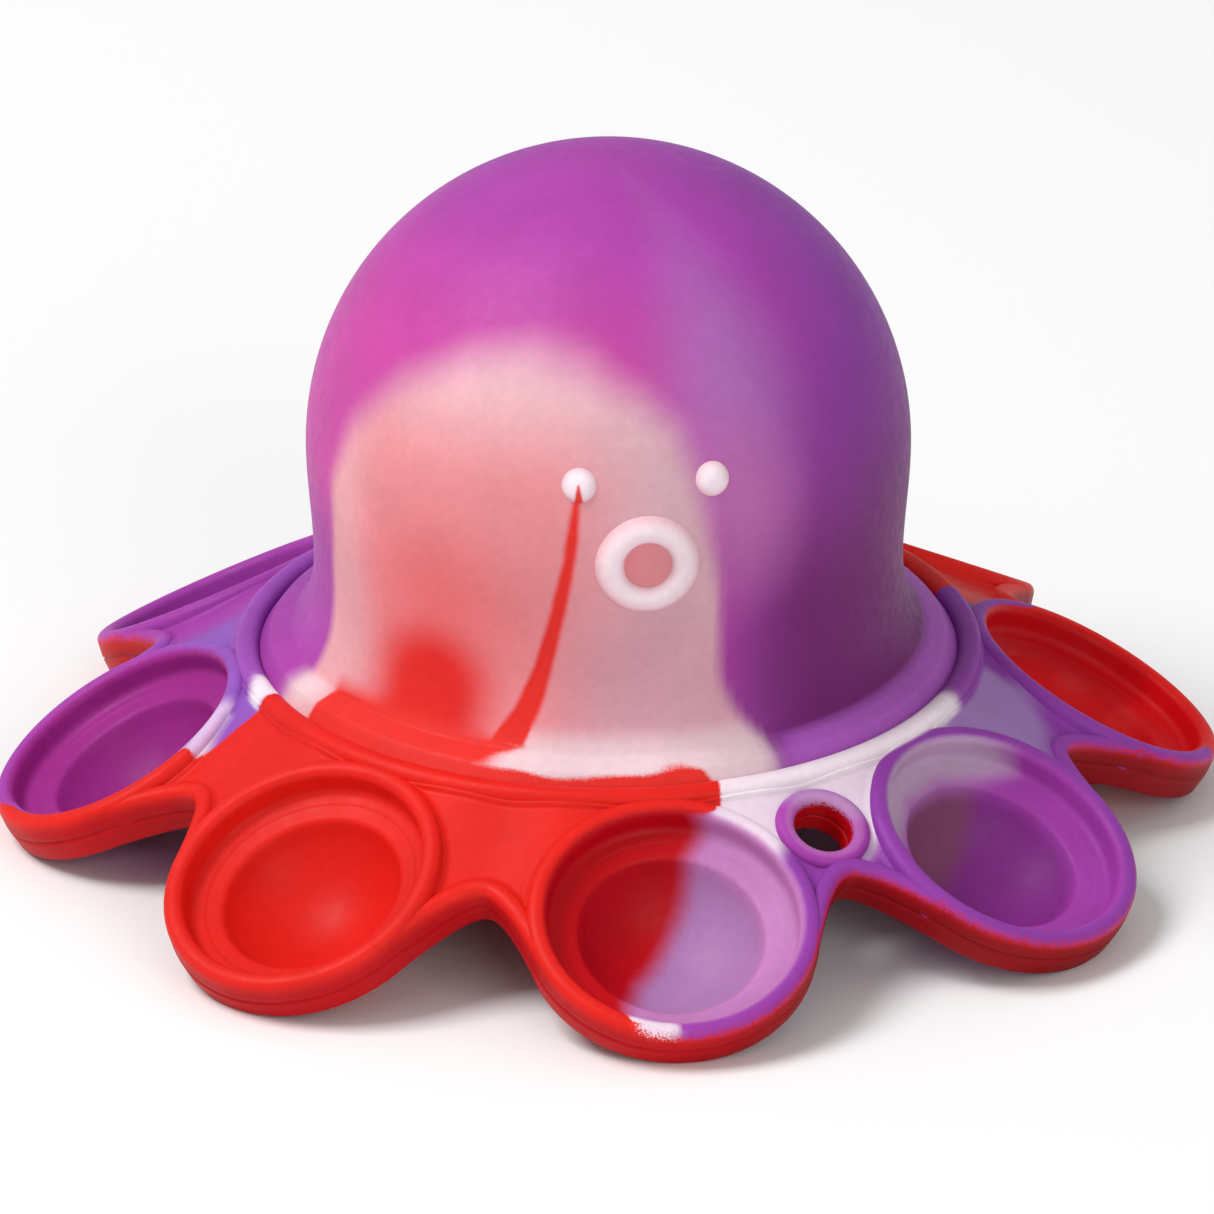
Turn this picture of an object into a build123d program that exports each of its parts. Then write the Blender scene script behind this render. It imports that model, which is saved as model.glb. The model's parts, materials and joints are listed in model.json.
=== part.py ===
from build123d import *

import math
import os

# Reversible silicone octopus with push bubbles. Millimetres, +Z up.
# The origin is on the standing surface, under the middle of the head.
# The face looks along -Y. Arms and eyes are named as seen from the front, with +X to the right.

# Arms: eight flat round lobes, tilted down and outwards
ARM_NAMES = ["front", "front_right", "right", "rear_right", "rear", "rear_left", "left", "front_left"]
ARM_STEP = 360 / len(ARM_NAMES)
LOBE_PATH_R = 47.6
LOBE_R = 14.3
DROOP = 29.5
RIM_HALF_HEIGHT = 2.5
RIM_WIDTH = 2.2
RIM_DRAFT = 0.2
RIM_TOP_ROUND = 0.9
RIM_FOOT_ROUND = 0.6
LEDGE_OUTER_Z = -0.2
LIP_R = 9.1
LIP_Z = -1.0
MEMBRANE_FOOT_Z = -2.0
ROOT_CUT_R = 11.3

# Push bubbles: thin bowls hanging in the lobes, pushed down at rest
BOWL_DEPTH = 6.3
BUBBLE_WALL = 0.9
CROWN_EDGE_Z = -6.1

# Ring bead that the arms spring from
RING_OUTER_R = 36.9
RING_WIDTH = 2.4
RING_HEIGHT = 5.0
RING_TOP_ROUND = 1.1
RING_FOOT_ROUND = 0.7
RING_RISE = 7.04

# Head
HEAD_R = 29.7
HEAD_WALL = 2.0
HEAD_RISE = 21.2
WAIST_R = 29.0
WAIST_DROP = 12.0
FOOT_R = 31.2
FOOT_RISE = 1.5
BAND_SHOULDER_R = 33.3
BAND_SHOULDER_RISE = 0.6
FOLD_RISE = 12.0
HEAD_CROWN_RISE = 22.2
FLARE_LEAN = 38.5
GUTTER_DROP = 1.2
GUTTER_INNER_DROP = 1.8
BAND_FOOT_LIFT = 0.4

# Face
EYE_R = 1.7
EYE_PROUD = 0.7
EYE_RISE = 7.7
EYE_AZIMUTH = 13.1
MOUTH_R = 3.72
MOUTH_TUBE_R = 1.52
MOUTH_SINK = 0.6
MOUTH_DROP = 0.4

# Webs, valley beads and the key eyelet between the arms
WEB_THICKNESS = 3.0
VALLEY_R = 5.5
VALLEY_SWEEP = 58.0
EYELET_PATH_R = 40.7
EYELET_R = 4.75
EYELET_HOLE_R = 2.9
EYELET_SEAT_R = 3.9
EYELET_HEIGHT = 4.95
EYELET_ROUND = 0.8

# Clearance between pieces that move apart, and the height of the cutters that go right through
GAP = 0.3
CUTTER_HEIGHT = 30.0

# Heights that follow from the driving sizes. The lowest point of each lobe's rim is at zero.
SIN_DROOP = math.sin(math.radians(DROOP))
COS_DROOP = math.cos(math.radians(DROOP))
RIM_FOOT_ANGLE = math.pi / 2 + math.atan(RIM_DRAFT / RIM_HALF_HEIGHT)
RIM_FOOT_R = LOBE_R - RIM_DRAFT - RIM_FOOT_ROUND / math.tan(RIM_FOOT_ANGLE / 2)
LOBE_Z = RIM_FOOT_R * SIN_DROOP + (RIM_HALF_HEIGHT - RIM_FOOT_ROUND) * COS_DROOP + RIM_FOOT_ROUND
RING_MID_Z = LOBE_Z + RING_RISE
RING_TOP_Z = RING_MID_Z + RING_HEIGHT / 2
RING_INNER_R = RING_OUTER_R - RING_WIDTH
HEAD_Z = RING_TOP_Z + HEAD_RISE
CONE_TOP_R = LOBE_PATH_R - LOBE_R * COS_DROOP
BOWL_R = (LIP_R**2 + BOWL_DEPTH**2) / (2 * BOWL_DEPTH)
BOWL_CENTRE_Z = LIP_Z + BOWL_R - BOWL_DEPTH
VALLEY_CENTRE_R = (
    LOBE_PATH_R * math.cos(math.radians(ARM_STEP / 2))
    + math.sqrt((LOBE_R + VALLEY_R) ** 2 - (LOBE_PATH_R * math.sin(math.radians(ARM_STEP / 2))) ** 2)
    * COS_DROOP
)


def turned(degrees):
    """Place that turns the +X direction by an angle about the vertical axis."""
    return Rot(0, 0, degrees)


def arm_angle(index):
    """Direction of an arm, counted anticlockwise from the front one."""
    return -90 + index * ARM_STEP


def tilted(radius, height):
    """Place on the +X side at a radius and height, with its z axis square to the drooping arms."""
    return Pos(radius, 0, height) * Rot(0, DROOP, 0)


def cone_z(radius):
    """Height of the skirt's middle surface at a radius."""
    return RING_MID_Z - (radius - CONE_TOP_R) * SIN_DROOP / COS_DROOP


def section(corners):
    """Closed section in the XZ plane from (x, z, corner radius) triples."""
    outline = make_face(Polyline(*[(x, z) for x, z, _ in corners], close=True))
    for x, z, radius in corners:
        if radius:
            corner = outline.vertices().sort_by_distance((x, z))[0]
            outline = fillet(corner, radius)
    return Plane.XZ * outline


def turn_whole(face):
    return revolve(face, Axis.Z, 360)


def shell_band(outer_r, inner_r, low, high, centre_z):
    """Band of a hollow ball between two heights, about the local z axis."""
    ball = Pos(0, centre_z) * (Circle(outer_r) - Circle(inner_r))
    window = Pos(outer_r / 2, (low + high) / 2) * Rectangle(outer_r, high - low)
    return turn_whole(Plane.XZ * (ball & window))


def head_side(offset):
    """Side of the head from its foot up to the fold: a flare, a slight waist and the ball."""
    ball_r = HEAD_R - offset
    fold_angle = math.asin(FOLD_RISE / ball_r)
    lean = math.radians(FLARE_LEAN)
    flare = Spline(
        (FOOT_R - offset, RING_TOP_Z + FOOT_RISE),
        (WAIST_R - offset, HEAD_Z - WAIST_DROP),
        (ball_r, HEAD_Z),
        tangents=[(-math.sin(lean), math.cos(lean)), (0, 1)],
    )
    halfway = (ball_r * math.cos(fold_angle / 2), HEAD_Z + ball_r * math.sin(fold_angle / 2))
    ball = ThreePointArc(flare @ 1, halfway, (ball_r * math.cos(fold_angle), HEAD_Z + FOLD_RISE))
    return flare, ball


def head_wall():
    """Hollow side of the head with the sloping foot band that runs down to the ring bead."""
    outer_flare, outer_ball = head_side(0)
    inner_flare, inner_ball = head_side(HEAD_WALL)
    foot_z = RING_MID_Z - RING_HEIGHT / 2 + BAND_FOOT_LIFT
    band = Polyline(
        inner_flare @ 0,
        (RING_INNER_R - HEAD_WALL, RING_TOP_Z - GUTTER_INNER_DROP),
        (RING_INNER_R - HEAD_WALL, foot_z),
        (RING_INNER_R, foot_z),
        (RING_INNER_R, RING_TOP_Z - GUTTER_DROP),
        (BAND_SHOULDER_R, RING_TOP_Z + BAND_SHOULDER_RISE),
        outer_flare @ 0,
    )
    fold = Line(outer_ball @ 1, inner_ball @ 1)
    outline = make_face([outer_flare, outer_ball, fold, inner_ball, inner_flare, band])
    return turn_whole(Plane.XZ * outline)


def head_shoulder():
    """Soft band above the fold, which rolls inwards when the head is pushed down."""
    low = HEAD_Z + FOLD_RISE
    high = HEAD_Z + HEAD_CROWN_RISE - GAP
    return shell_band(HEAD_R, HEAD_R - HEAD_WALL, low, high, HEAD_Z)


def head_crown():
    """Cap at the very top of the head."""
    low = HEAD_Z + HEAD_CROWN_RISE
    return shell_band(HEAD_R, HEAD_R - HEAD_WALL, low, HEAD_Z + HEAD_R, HEAD_Z)


def head_solid():
    """Filled outside shape of the head, for trimming the pieces that stand on it."""
    flare, ball = head_side(0)
    low = RING_TOP_Z + FOOT_RISE
    rest = Polyline(ball @ 1, (0, HEAD_Z + FOLD_RISE), (0, low), flare @ 0)
    return turn_whole(Plane.XZ * make_face([flare, ball, rest]))


def eye(side):
    """Small raised dome. Side is -1 for the left eye and 1 for the right one."""
    ball_r = (EYE_R**2 + EYE_PROUD**2) / (2 * EYE_PROUD)
    lift = math.degrees(math.asin(EYE_RISE / HEAD_R))
    place = Pos(0, 0, HEAD_Z) * turned(arm_angle(0) + side * EYE_AZIMUTH) * Rot(0, 90 - lift, 0)
    ball = Pos(0, 0, HEAD_R + EYE_PROUD - ball_r) * Sphere(ball_r)
    return place * (ball - Sphere(HEAD_R))


def mouth_ring():
    """Raised round mouth with a small open middle."""
    place = Pos(0, 0, HEAD_Z - MOUTH_DROP) * turned(arm_angle(0)) * Rot(0, 90, 0)
    return place * Pos(0, 0, HEAD_R - MOUTH_SINK) * Torus(MOUTH_R, MOUTH_TUBE_R) - head_solid()


def head_ring():
    """Ring bead round the foot of the head."""
    top = RING_MID_Z + RING_HEIGHT / 2
    foot = RING_MID_Z - RING_HEIGHT / 2
    corners = [
        (RING_INNER_R, foot, RING_FOOT_ROUND / 2),
        (RING_OUTER_R, foot, RING_FOOT_ROUND),
        (RING_OUTER_R, top, RING_TOP_ROUND),
        (RING_INNER_R, top, RING_TOP_ROUND),
    ]
    return turn_whole(section(corners))


def rim_corners(outer_r, inner_r):
    """Section of the raised bead that edges the lobes and the valleys between them."""
    half = RIM_HALF_HEIGHT
    side = math.copysign(1, outer_r - inner_r)
    return [
        (inner_r + side * RIM_DRAFT / 2, half, RIM_TOP_ROUND),
        (outer_r - side * RIM_DRAFT, half, RIM_TOP_ROUND),
        (outer_r, 0, 0),
        (outer_r - side * RIM_DRAFT, -half, RIM_FOOT_ROUND),
        (inner_r + side * RIM_DRAFT / 2, -half, 0),
    ]


def arm_lobe():
    """Round lobe on the +X side: rim bead and sloping ledge, cut straight at its root."""
    inner_r = LOBE_R - RIM_WIDTH
    bowl_foot_r = math.sqrt(BOWL_R**2 - (BOWL_CENTRE_Z - MEMBRANE_FOOT_Z) ** 2)
    ledge = [
        (inner_r, MEMBRANE_FOOT_Z, 0),
        (bowl_foot_r, MEMBRANE_FOOT_Z, 0),
        (LIP_R, LIP_Z, 0),
        (inner_r, LEDGE_OUTER_Z, 0),
    ]
    lobe = turn_whole(section(rim_corners(LOBE_R, inner_r) + ledge))
    root_align = (Align.MAX, Align.CENTER, Align.CENTER)
    lobe -= Pos(-ROOT_CUT_R, 0, 0) * Box(LOBE_R, 2 * LOBE_R, 2 * LOBE_R, align=root_align)
    return tilted(LOBE_PATH_R, LOBE_Z) * lobe


def bubble_wall():
    """Thin side of the bubble, which turns inside out as the bubble pops."""
    high = MEMBRANE_FOOT_Z
    band = shell_band(BOWL_R + BUBBLE_WALL, BOWL_R, CROWN_EDGE_Z + GAP, high, BOWL_CENTRE_Z)
    return tilted(LOBE_PATH_R, LOBE_Z) * band


def bubble_crown():
    """Round bottom of the bubble, where the finger pushes."""
    outer_r = BOWL_R + BUBBLE_WALL
    cap = shell_band(outer_r, BOWL_R, BOWL_CENTRE_Z - outer_r, CROWN_EDGE_Z, BOWL_CENTRE_Z)
    return tilted(LOBE_PATH_R, LOBE_Z) * cap


def lobe_room(side):
    """Cylinder round a neighbouring lobe, half an arm step to one side of +X."""
    room = tilted(LOBE_PATH_R, LOBE_Z) * Cylinder(LOBE_R + GAP, CUTTER_HEIGHT)
    return turned(side * ARM_STEP / 2) * room


def ring_room():
    return Pos(0, 0, RING_MID_Z) * Cylinder(RING_OUTER_R, CUTTER_HEIGHT)


def valley_place():
    return tilted(VALLEY_CENTRE_R, cone_z(VALLEY_CENTRE_R))


def valley_bead():
    """Bead that edges the skirt between two arms, curved the other way from the lobes."""
    bead_face = section(rim_corners(VALLEY_R, VALLEY_R + RIM_WIDTH))
    bead = revolve(bead_face, Axis.Z, 2 * VALLEY_SWEEP)
    return valley_place() * turned(180 - VALLEY_SWEEP) * bead


def between_arms(solid):
    """The solid with room left for the ring bead and for both neighbouring lobes."""
    return solid - ring_room() - lobe_room(1) - lobe_room(-1)


def web_plate():
    """Conical plate on the +X side, from the ring bead to the valley bead."""
    half = WEB_THICKNESS / 2
    far_r = VALLEY_CENTRE_R - VALLEY_R * COS_DROOP
    slope = SIN_DROOP / COS_DROOP
    near = (RING_OUTER_R - half, cone_z(RING_OUTER_R) + half * slope)
    far = (far_r, cone_z(far_r))
    corners = [
        (near[0] + half * SIN_DROOP, near[1] + half * COS_DROOP, 0),
        (far[0] + half * SIN_DROOP, far[1] + half * COS_DROOP, 0),
        (far[0] - half * SIN_DROOP, far[1] - half * COS_DROOP, 0),
        (near[0] - half * SIN_DROOP, near[1] - half * COS_DROOP, 0),
    ]
    plate = turned(-ARM_STEP / 2) * revolve(section(corners), Axis.Z, ARM_STEP)
    return plate - valley_place() * Cylinder(VALLEY_R + RIM_WIDTH / 2, CUTTER_HEIGHT)


def eyelet_place():
    return tilted(EYELET_PATH_R, cone_z(EYELET_PATH_R))


def web(pierced):
    """Skirt between two arms on the +X side, with a seat for the eyelet if it is pierced."""
    plate = web_plate()
    if pierced:
        plate -= eyelet_place() * Cylinder(EYELET_SEAT_R, CUTTER_HEIGHT)
    skirt = between_arms(plate + valley_bead())
    return skirt.solids().sort_by(SortBy.VOLUME)[-1]


def key_eyelet():
    """Raised eyelet that grips the edge of the web's hole, for a split ring or cord."""
    post = Cylinder(EYELET_R, EYELET_HEIGHT)
    post = fillet(post.edges().filter_by(GeomType.CIRCLE), EYELET_ROUND)
    post -= Cylinder(EYELET_HOLE_R, CUTTER_HEIGHT)
    return between_arms(eyelet_place() * post) - web(pierced=True)


def save(node, solid):
    export_step(Part() + solid, f"parts/{node}.step")


os.makedirs("parts", exist_ok=True)

save("head_ring", head_ring())
save("head_wall", head_wall())
save("head_shoulder", head_shoulder())
save("head_crown", head_crown())
save("eye_left", eye(-1))
save("eye_right", eye(1))
save("mouth_ring", mouth_ring())

save("key_eyelet", turned(arm_angle(0.5)) * key_eyelet())

plain_web = web(pierced=False)
pierced_web = web(pierced=True)

lobe = arm_lobe()
side = bubble_wall()
crown = bubble_crown()
for index, name in enumerate(ARM_NAMES):
    spot = turned(arm_angle(index))
    save(f"arm_{name}", spot * lobe)
    save(f"bubble_wall_{name}", spot * side)
    save(f"bubble_crown_{name}", spot * crown)
    skirt = pierced_web if index == 0 else plain_web
    save(f"web_{index + 1}", turned(arm_angle(index + 0.5)) * skirt)

print(f"lobe centre {LOBE_Z:.3f}, ring middle {RING_MID_Z:.3f}, ring top {RING_TOP_Z:.3f}")
print(f"head centre {HEAD_Z:.3f}, top {HEAD_Z + HEAD_R:.3f}, bowl radius {BOWL_R:.3f}")
print(f"bubble pop travel {2 * BOWL_DEPTH:.2f}, dome travel {2 * (HEAD_R - FOLD_RISE):.2f}")
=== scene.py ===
import json
import math

import bmesh
import bpy
import numpy as np
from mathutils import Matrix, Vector


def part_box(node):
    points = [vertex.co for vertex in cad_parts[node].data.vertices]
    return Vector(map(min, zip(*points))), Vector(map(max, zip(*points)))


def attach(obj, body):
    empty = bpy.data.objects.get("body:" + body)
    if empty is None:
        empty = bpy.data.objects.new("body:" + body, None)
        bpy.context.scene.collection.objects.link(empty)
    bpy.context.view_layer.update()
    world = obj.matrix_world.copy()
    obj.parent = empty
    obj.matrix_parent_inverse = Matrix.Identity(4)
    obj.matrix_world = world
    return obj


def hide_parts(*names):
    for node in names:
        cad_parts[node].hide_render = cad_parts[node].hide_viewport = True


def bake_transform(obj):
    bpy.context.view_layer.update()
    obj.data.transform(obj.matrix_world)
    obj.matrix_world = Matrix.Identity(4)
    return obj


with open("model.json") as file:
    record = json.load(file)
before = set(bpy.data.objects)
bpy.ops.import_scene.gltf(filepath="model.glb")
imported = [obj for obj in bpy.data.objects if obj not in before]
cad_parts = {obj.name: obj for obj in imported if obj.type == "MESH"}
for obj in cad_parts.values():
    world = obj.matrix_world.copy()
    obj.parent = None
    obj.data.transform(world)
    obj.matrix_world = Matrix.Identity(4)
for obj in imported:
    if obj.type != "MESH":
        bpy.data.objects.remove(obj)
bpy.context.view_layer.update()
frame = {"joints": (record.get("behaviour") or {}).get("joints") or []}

# Octopus toy of marbled silicone: a hollow head, a ring bead round its foot, eight round arms with
# a push-through bubble each, webs between the arms, and a key eyelet.
# Lengths are in millimetres until a mesh is made. The face looks along -Y.
# In names, R is a distance from an axis, N a height above a lobe's middle plane, and Z a height
# above the floor.
MM = 0.001
UP = np.array([0.0, 0.0, 1.0])
ARM_NAMES = ["front", "front_right", "right", "rear_right", "rear", "rear_left", "left", "front_left"]
ARM_STEP = math.radians(360 / len(ARM_NAMES))

# Lobe section, from the lobe's own axis outwards and from its middle plane upwards
LOBE_PATH_R = 47.6
LOBE_R = 14.3
RIM_WIDTH = 2.2
RIM_HALF_HEIGHT = 2.5
RIM_DRAFT = 0.2
RIM_TOP_ROUND = 0.93
RIM_FOOT_ROUND = 0.6
SEAM_HALF_WIDTH = 0.18
SEAM_DEPTH = 0.24
LEDGE_OUTER_N = -0.2
LEDGE_ROUND = 0.9
LIP_R = 9.1
LIP_N = -1.0
LIP_ROUND = 0.75
LEDGE_FOOT_N = -2.0
SHEET_EDGE_R = 10.6
SHEET_RELIEF = 0.15
BOWL_DEPTH = 6.3
BUBBLE_WALL = 0.9

# Webs and valley beads
VALLEY_R = 5.5
VALLEY_HANDLE = 2.2
WEB_HALF_THICKNESS = 1.5
WEB_TUCK = 0.5
# Rounded inner corners where a web meets the beads
COVE_R = 0.6
COVE_REACH = 0.56
LOBE_COVE_INSET = 0.26
VALLEY_COVE_INSET = 0.13
RING_COVE_R = 0.45
# Share of the way from an arm's middle to the halfway plane at which the skirt starts to turn conical
CONE_FROM = 0.35

# Ring bead and head
RING_WIDTH = 2.4
RING_TOP_ROUND = 1.1
RING_FOOT_ROUND = 0.7
GUTTER_DROP = 1.2
GUTTER_ROUND = 0.4
GUTTER_GAP = 0.1
HEAD_EDGE_RISE = 1.0
FOOT_R = 31.2
FOOT_RISE = 1.5
FOOT_ROUND = 0.45
BAND_SHOULDER_R = 33.3
BAND_SHOULDER_RISE = 0.6
BAND_SHOULDER_ROUND = 0.8
FLARE_LEAN = math.radians(38.5)
WAIST_R = 29.0
WAIST_DROP = 12.0
HEAD_WALL = 2.0
POLE_R = 0.3

# Face and eyelet
EYE_R = 1.7
EYE_PROUD = 0.75
EYE_SINK = 0.5
MOUTH_PATH_R = 3.72
MOUTH_TUBE_R = 1.52
MOUTH_SINK = 0.6
EYELET_PATH_R = 40.7
EYELET_R = 4.75
EYELET_HOLE_R = 2.9
EYELET_HALF_HEIGHT = 2.475
EYELET_ROUND = 0.8
# The web's hole for the eyelet, and the height in the eyelet's hole at which its red starts
EYELET_SEAT_R = 3.8
EYELET_RED_N = 1.9

# Points along the bowl, each part of the head's side, and the head's round top
BOWL_ROWS = 34
SIDE_ROWS = 22
TOP_ROWS = 74
# Point of the side at which the rounded foot passes into it
FLARE_JOIN = 3
# Points round each turned piece
LOBE_COLUMNS = 132
BUBBLE_COLUMNS = 96
EYELET_COLUMNS = 72
RING_COLUMNS = 256
EYE_COLUMNS = 48
MOUTH_COLUMNS = 80


def corner_mm(node):
    """Lowest and highest corner of a CAD node in millimetres."""
    low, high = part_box(node)
    return np.array(low) / MM, np.array(high) / MM


joints = {joint["name"]: joint for joint in frame["joints"]}
pop_axis = joints["pop_front"]["axis"]
DROOP = math.atan2(math.hypot(pop_axis[0], pop_axis[1]), pop_axis[2])
SIN_DROOP, COS_DROOP, TAN_DROOP = math.sin(DROOP), math.cos(DROOP), math.tan(DROOP)
pivot = np.array(joints["flex_front"]["pos_m"]) / MM
LOBE_Z = pivot[2] - (LOBE_PATH_R - math.hypot(pivot[0], pivot[1])) * TAN_DROOP
RIM_INNER_R = LOBE_R - RIM_WIDTH
BOWL_R = (LIP_R**2 + BOWL_DEPTH**2) / (2 * BOWL_DEPTH)
BOWL_CENTRE_N = LIP_N + BOWL_R - BOWL_DEPTH

ring_low, ring_high = corner_mm("head_ring")
RING_OUTER_R = ring_high[0]
RING_INNER_R = RING_OUTER_R - RING_WIDTH
RING_TOP_Z, RING_FOOT_Z = ring_high[2], ring_low[2]

shoulder_low, shoulder_high = corner_mm("head_shoulder")
FOLD_Z = shoulder_low[2]
HEAD_TOP_Z = corner_mm("head_crown")[1][2]
cap_height = HEAD_TOP_Z - FOLD_Z
HEAD_R = (shoulder_high[0] ** 2 + cap_height**2) / (2 * cap_height)
HEAD_Z = HEAD_TOP_Z - HEAD_R

# The webs' inner edge lies inside the ring bead, below the cove that joins the two.
WEB_INNER_R = RING_OUTER_R - WEB_TUCK - (WEB_HALF_THICKNESS + RING_COVE_R) * SIN_DROOP

lobe_across = LOBE_PATH_R * math.sin(ARM_STEP / 2)
valley_reach = math.sqrt((LOBE_R + VALLEY_R) ** 2 - lobe_across**2)
VALLEY_CENTRE_R = LOBE_PATH_R * math.cos(ARM_STEP / 2) + valley_reach * COS_DROOP
# Angle round the lobe, from the way it points, at which its bead passes into the valley's
LEAVE = math.atan2(lobe_across, valley_reach)


# ---- small maths

def soft(x):
    """Smooth step from 0 at 0 to 1 at 1."""
    x = np.clip(x, 0, 1)
    return x * x * (3 - 2 * x)


def fade(distance, width):
    """Weight that rises from 0 to 1 over a width centred on distance 0."""
    return soft(0.5 + distance / width)


def unit(v):
    return v / np.linalg.norm(v, axis=-1, keepdims=True)


def wave(points, size, seed):
    """Slow irregular waves between about -1 and 1, as wide as size."""
    total = np.zeros(len(points))
    for step in range(3):
        turn = seed * 1.7 + step * 2.4
        along = points[:, 0] * math.cos(turn) + points[:, 1] * math.sin(turn)
        third = points[:, 2] * math.cos(turn * 1.3 + 1) if points.shape[1] > 2 else 0
        total += np.sin((along + third) * 2 * math.pi / (size * (1 + 0.37 * step)) + seed + step)
    return total / 2


def inside(points, outline):
    """Distance in from a closed outline, negative outside it."""
    outline = np.array(outline, float)
    nearest = np.full(len(points), np.inf)
    crossings = np.zeros(len(points), bool)
    for start, end in zip(outline, np.roll(outline, -1, axis=0)):
        side = end - start
        offset = points - start
        along = np.clip(offset @ side / (side @ side), 0, 1)
        nearest = np.minimum(nearest, np.linalg.norm(offset - along[:, None] * side, axis=1))
        straddles = (start[1] > points[:, 1]) != (end[1] > points[:, 1])
        rise = side[1] if side[1] else 1e-9
        crossings ^= straddles & (points[:, 0] < start[0] + side[0] * (points[:, 1] - start[1]) / rise)
    return np.where(crossings, nearest, -nearest)


def rounded(corners, step=0.45, closed=True):
    """Points along straight sides with rounded corners, from (x, z, corner radius) triples."""
    spots = [np.array(corner[:2], float) for corner in corners]
    count = len(corners)
    line = []
    for index, (_, _, radius) in enumerate(corners):
        here = spots[index]
        if radius == 0 or (not closed and index in (0, count - 1)):
            line.append(here)
            continue
        to_last = unit(spots[index - 1] - here)
        to_next = unit(spots[(index + 1) % count] - here)
        half = math.acos(np.clip(to_last @ to_next, -1, 1)) / 2
        centre = here + unit(to_last + to_next) * radius / math.sin(half)
        first = here + to_last * radius / math.tan(half) - centre
        last = here + to_next * radius / math.tan(half) - centre
        sweep = math.pi - 2 * half
        pieces = max(3, int(sweep / 0.2))
        for part in range(pieces + 1):
            share = part / pieces
            line.append(centre + (
                first * math.sin((1 - share) * sweep) + last * math.sin(share * sweep)
            ) / math.sin(sweep))
    dense = []
    ends = line[1:] + line[:1] if closed else line[1:]
    for start, end in zip(line, ends):
        gap = np.linalg.norm(end - start)
        if gap < 1e-6:
            continue
        pieces = max(1, math.ceil(gap / step))
        dense += [start + (end - start) * part / pieces for part in range(pieces)]
    if not closed:
        dense.append(line[-1])
    return np.array(dense)


# ---- meshes

def linked(name, made):
    """Scene object that takes over a finished bmesh."""
    mesh = bpy.data.meshes.new(name)
    made.to_mesh(mesh)
    made.free()
    piece = bpy.data.objects.new(name, mesh)
    bpy.context.scene.collection.objects.link(piece)
    return piece


def skin(name, points, wrap_rows=False, cap_first=False, cap_last=False, thickness=0):
    """Mesh over rows of points, each row a closed loop.

    One that stays open faces upwards, and its thickness is added below.
    """
    rows, columns = points.shape[:2]
    made = bmesh.new()
    grid = [[made.verts.new(points[i, j] * MM) for j in range(columns)] for i in range(rows)]
    for i in range(rows if wrap_rows else rows - 1):
        for j in range(columns):
            lower, upper = grid[i], grid[(i + 1) % rows]
            right = (j + 1) % columns
            made.faces.new((lower[j], lower[right], upper[right], upper[j]))
    ends = ((grid[0], cap_first), (grid[-1], cap_last))
    caps = [made.faces.new(row) for row, wanted in ends if wanted]
    closed = all(not edge.is_boundary for edge in made.edges)
    made.normal_update()
    if closed:
        bmesh.ops.recalc_face_normals(made, faces=made.faces)
    elif sum(face.normal.z * face.calc_area() for face in made.faces) < 0:
        bmesh.ops.reverse_faces(made, faces=made.faces)
    for face in made.faces:
        face.smooth = True
    for edge in made.edges:
        edge.smooth = not edge.is_boundary
    pole_area = math.pi * (2 * POLE_R * MM) ** 2
    for edge in [edge for cap in caps if cap.calc_area() > pole_area for edge in cap.edges]:
        edge.smooth = False
    piece = linked(name, made)
    if thickness:
        solid = piece.modifiers.new("thickness", "SOLIDIFY")
        solid.thickness = thickness * MM
        solid.offset = -1
        solid.use_even_offset = True
    return piece


def plate(name, top, bottom, kept):
    """Closed plate between two grids of points, of the cells whose corners are all kept."""
    rows, columns = top.shape[:2]
    cells = [
        ((i, j), (i, j + 1), (i + 1, j + 1), (i + 1, j))
        for i in range(rows - 1) for j in range(columns - 1)
    ]
    cells = [cell for cell in cells if all(kept[spot] for spot in cell)]
    used = sorted({spot for cell in cells for spot in cell})
    made = bmesh.new()
    upper = {spot: made.verts.new(top[spot] * MM) for spot in used}
    lower = {spot: made.verts.new(bottom[spot] * MM) for spot in used}
    rim = {}
    for cell in cells:
        made.faces.new([upper[spot] for spot in cell])
        made.faces.new([lower[spot] for spot in reversed(cell)])
        for side in zip(cell, cell[1:] + cell[:1]):
            shared = frozenset(side) in rim
            rim[frozenset(side)] = None if shared else side
    for start, end in filter(None, rim.values()):
        wall = made.faces.new((upper[end], upper[start], lower[start], lower[end]))
        for edge in wall.edges:
            edge.smooth = False
    bmesh.ops.recalc_face_normals(made, faces=made.faces)
    for face in made.faces:
        face.smooth = True
    piece = linked(name, made)
    return piece, np.array([top[spot] for spot in used] + [bottom[spot] for spot in used])


def evenly(count):
    """Angles spread evenly round a full turn."""
    return np.linspace(0, 2 * math.pi, count, endpoint=False)


def turned(section, place, angles):
    """Points of a section, given as (from the axis, along it), at each angle about a place's normal."""
    centre, out, across, normal = place
    ring = np.cos(angles)[:, None] * out + np.sin(angles)[:, None] * across
    return centre + section[:, None, :1] * ring[None] + section[:, None, 1:] * normal


UPRIGHT = (np.zeros(3), np.array([1.0, 0, 0]), np.array([0, 1.0, 0]), UP)


def skirt_place(turn, radius, height):
    """Centre on the skirt at an angle from the front, and the ways down its slope, across and off it."""
    heading = -math.pi / 2 + turn
    radial = np.array([math.cos(heading), math.sin(heading), 0])
    across = np.array([-math.sin(heading), math.cos(heading), 0])
    out = radial * COS_DROOP - UP * SIN_DROOP
    normal = radial * SIN_DROOP + UP * COS_DROOP
    return radial * radius + UP * height, out, across, normal


def lobe_place(index):
    return skirt_place(index * ARM_STEP, LOBE_PATH_R, LOBE_Z)


def local(points, place):
    """Points in a place's own axes."""
    centre, out, across, normal = place
    return (points - centre) @ np.stack([out, across, normal], axis=1)


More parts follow.
